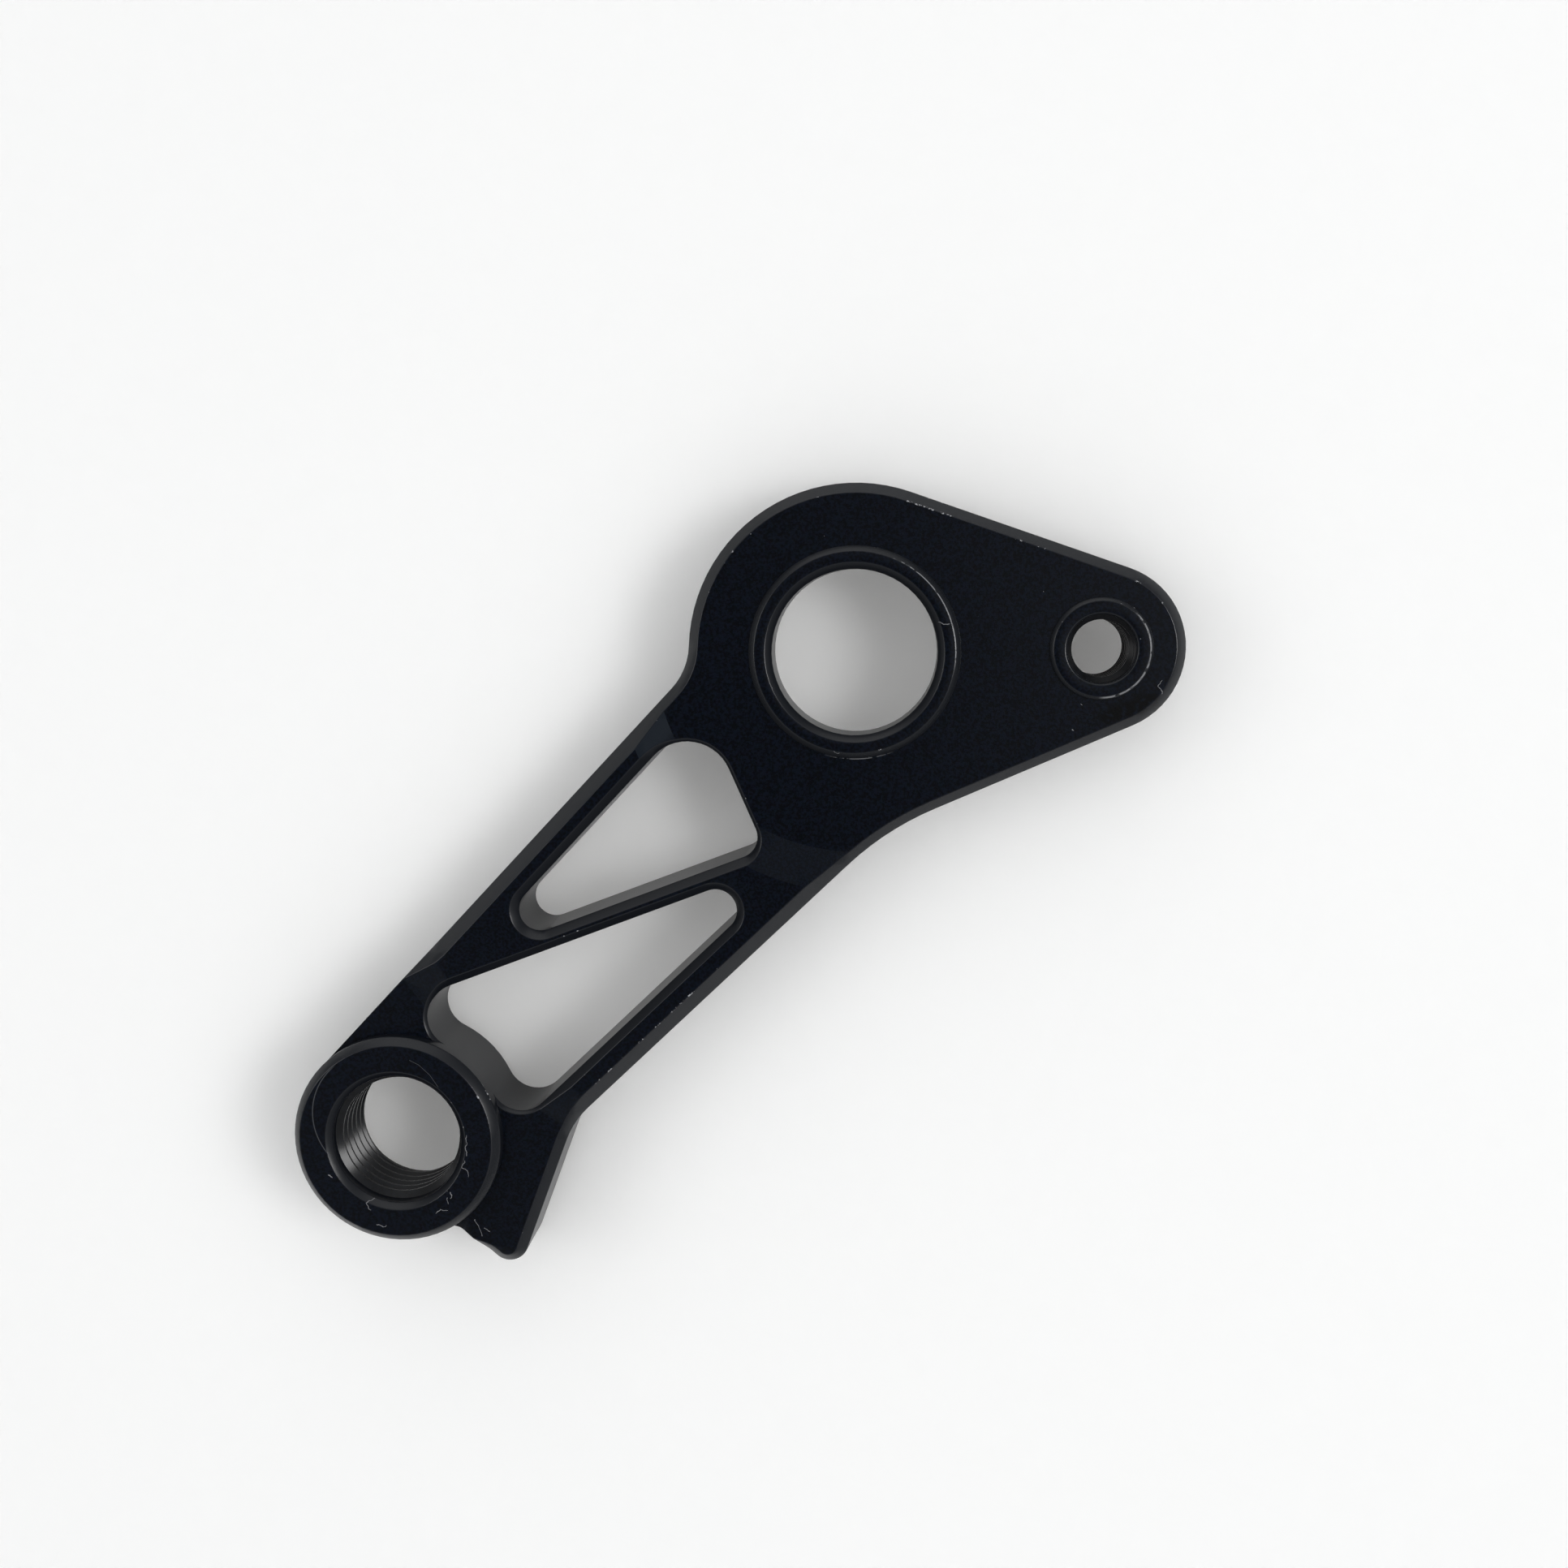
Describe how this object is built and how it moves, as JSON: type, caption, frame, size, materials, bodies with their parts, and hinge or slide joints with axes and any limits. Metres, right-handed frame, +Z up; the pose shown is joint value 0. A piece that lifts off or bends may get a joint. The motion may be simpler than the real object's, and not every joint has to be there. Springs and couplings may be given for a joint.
{
  "type": "bicycle derailleur hanger",
  "caption": "Flat machined hanger plate: axle bore and fixing boss on a rounded head, a skeletonised arm with bevelled edges, and a raised threaded boss with a stop tab.",
  "frame": {"origin": "axle bore's centre in the plane of the underside, at the mouth of the hub seat", "axes": "+Z up through the plate towards the side where the derailleur bolts on, +X from the axle bore's centre to the frame fixing hole's centre, +Y away from the arm"},
  "size_m": [0.0674, 0.0592, 0.0079],
  "materials": {
    "anodised_aluminium": "black anodised, satin bead-blasted faces with smoother machined bevels"
  },
  "bodies": {
    "root": {"hanger": "anodised_aluminium"}
  },
  "joints": []
}
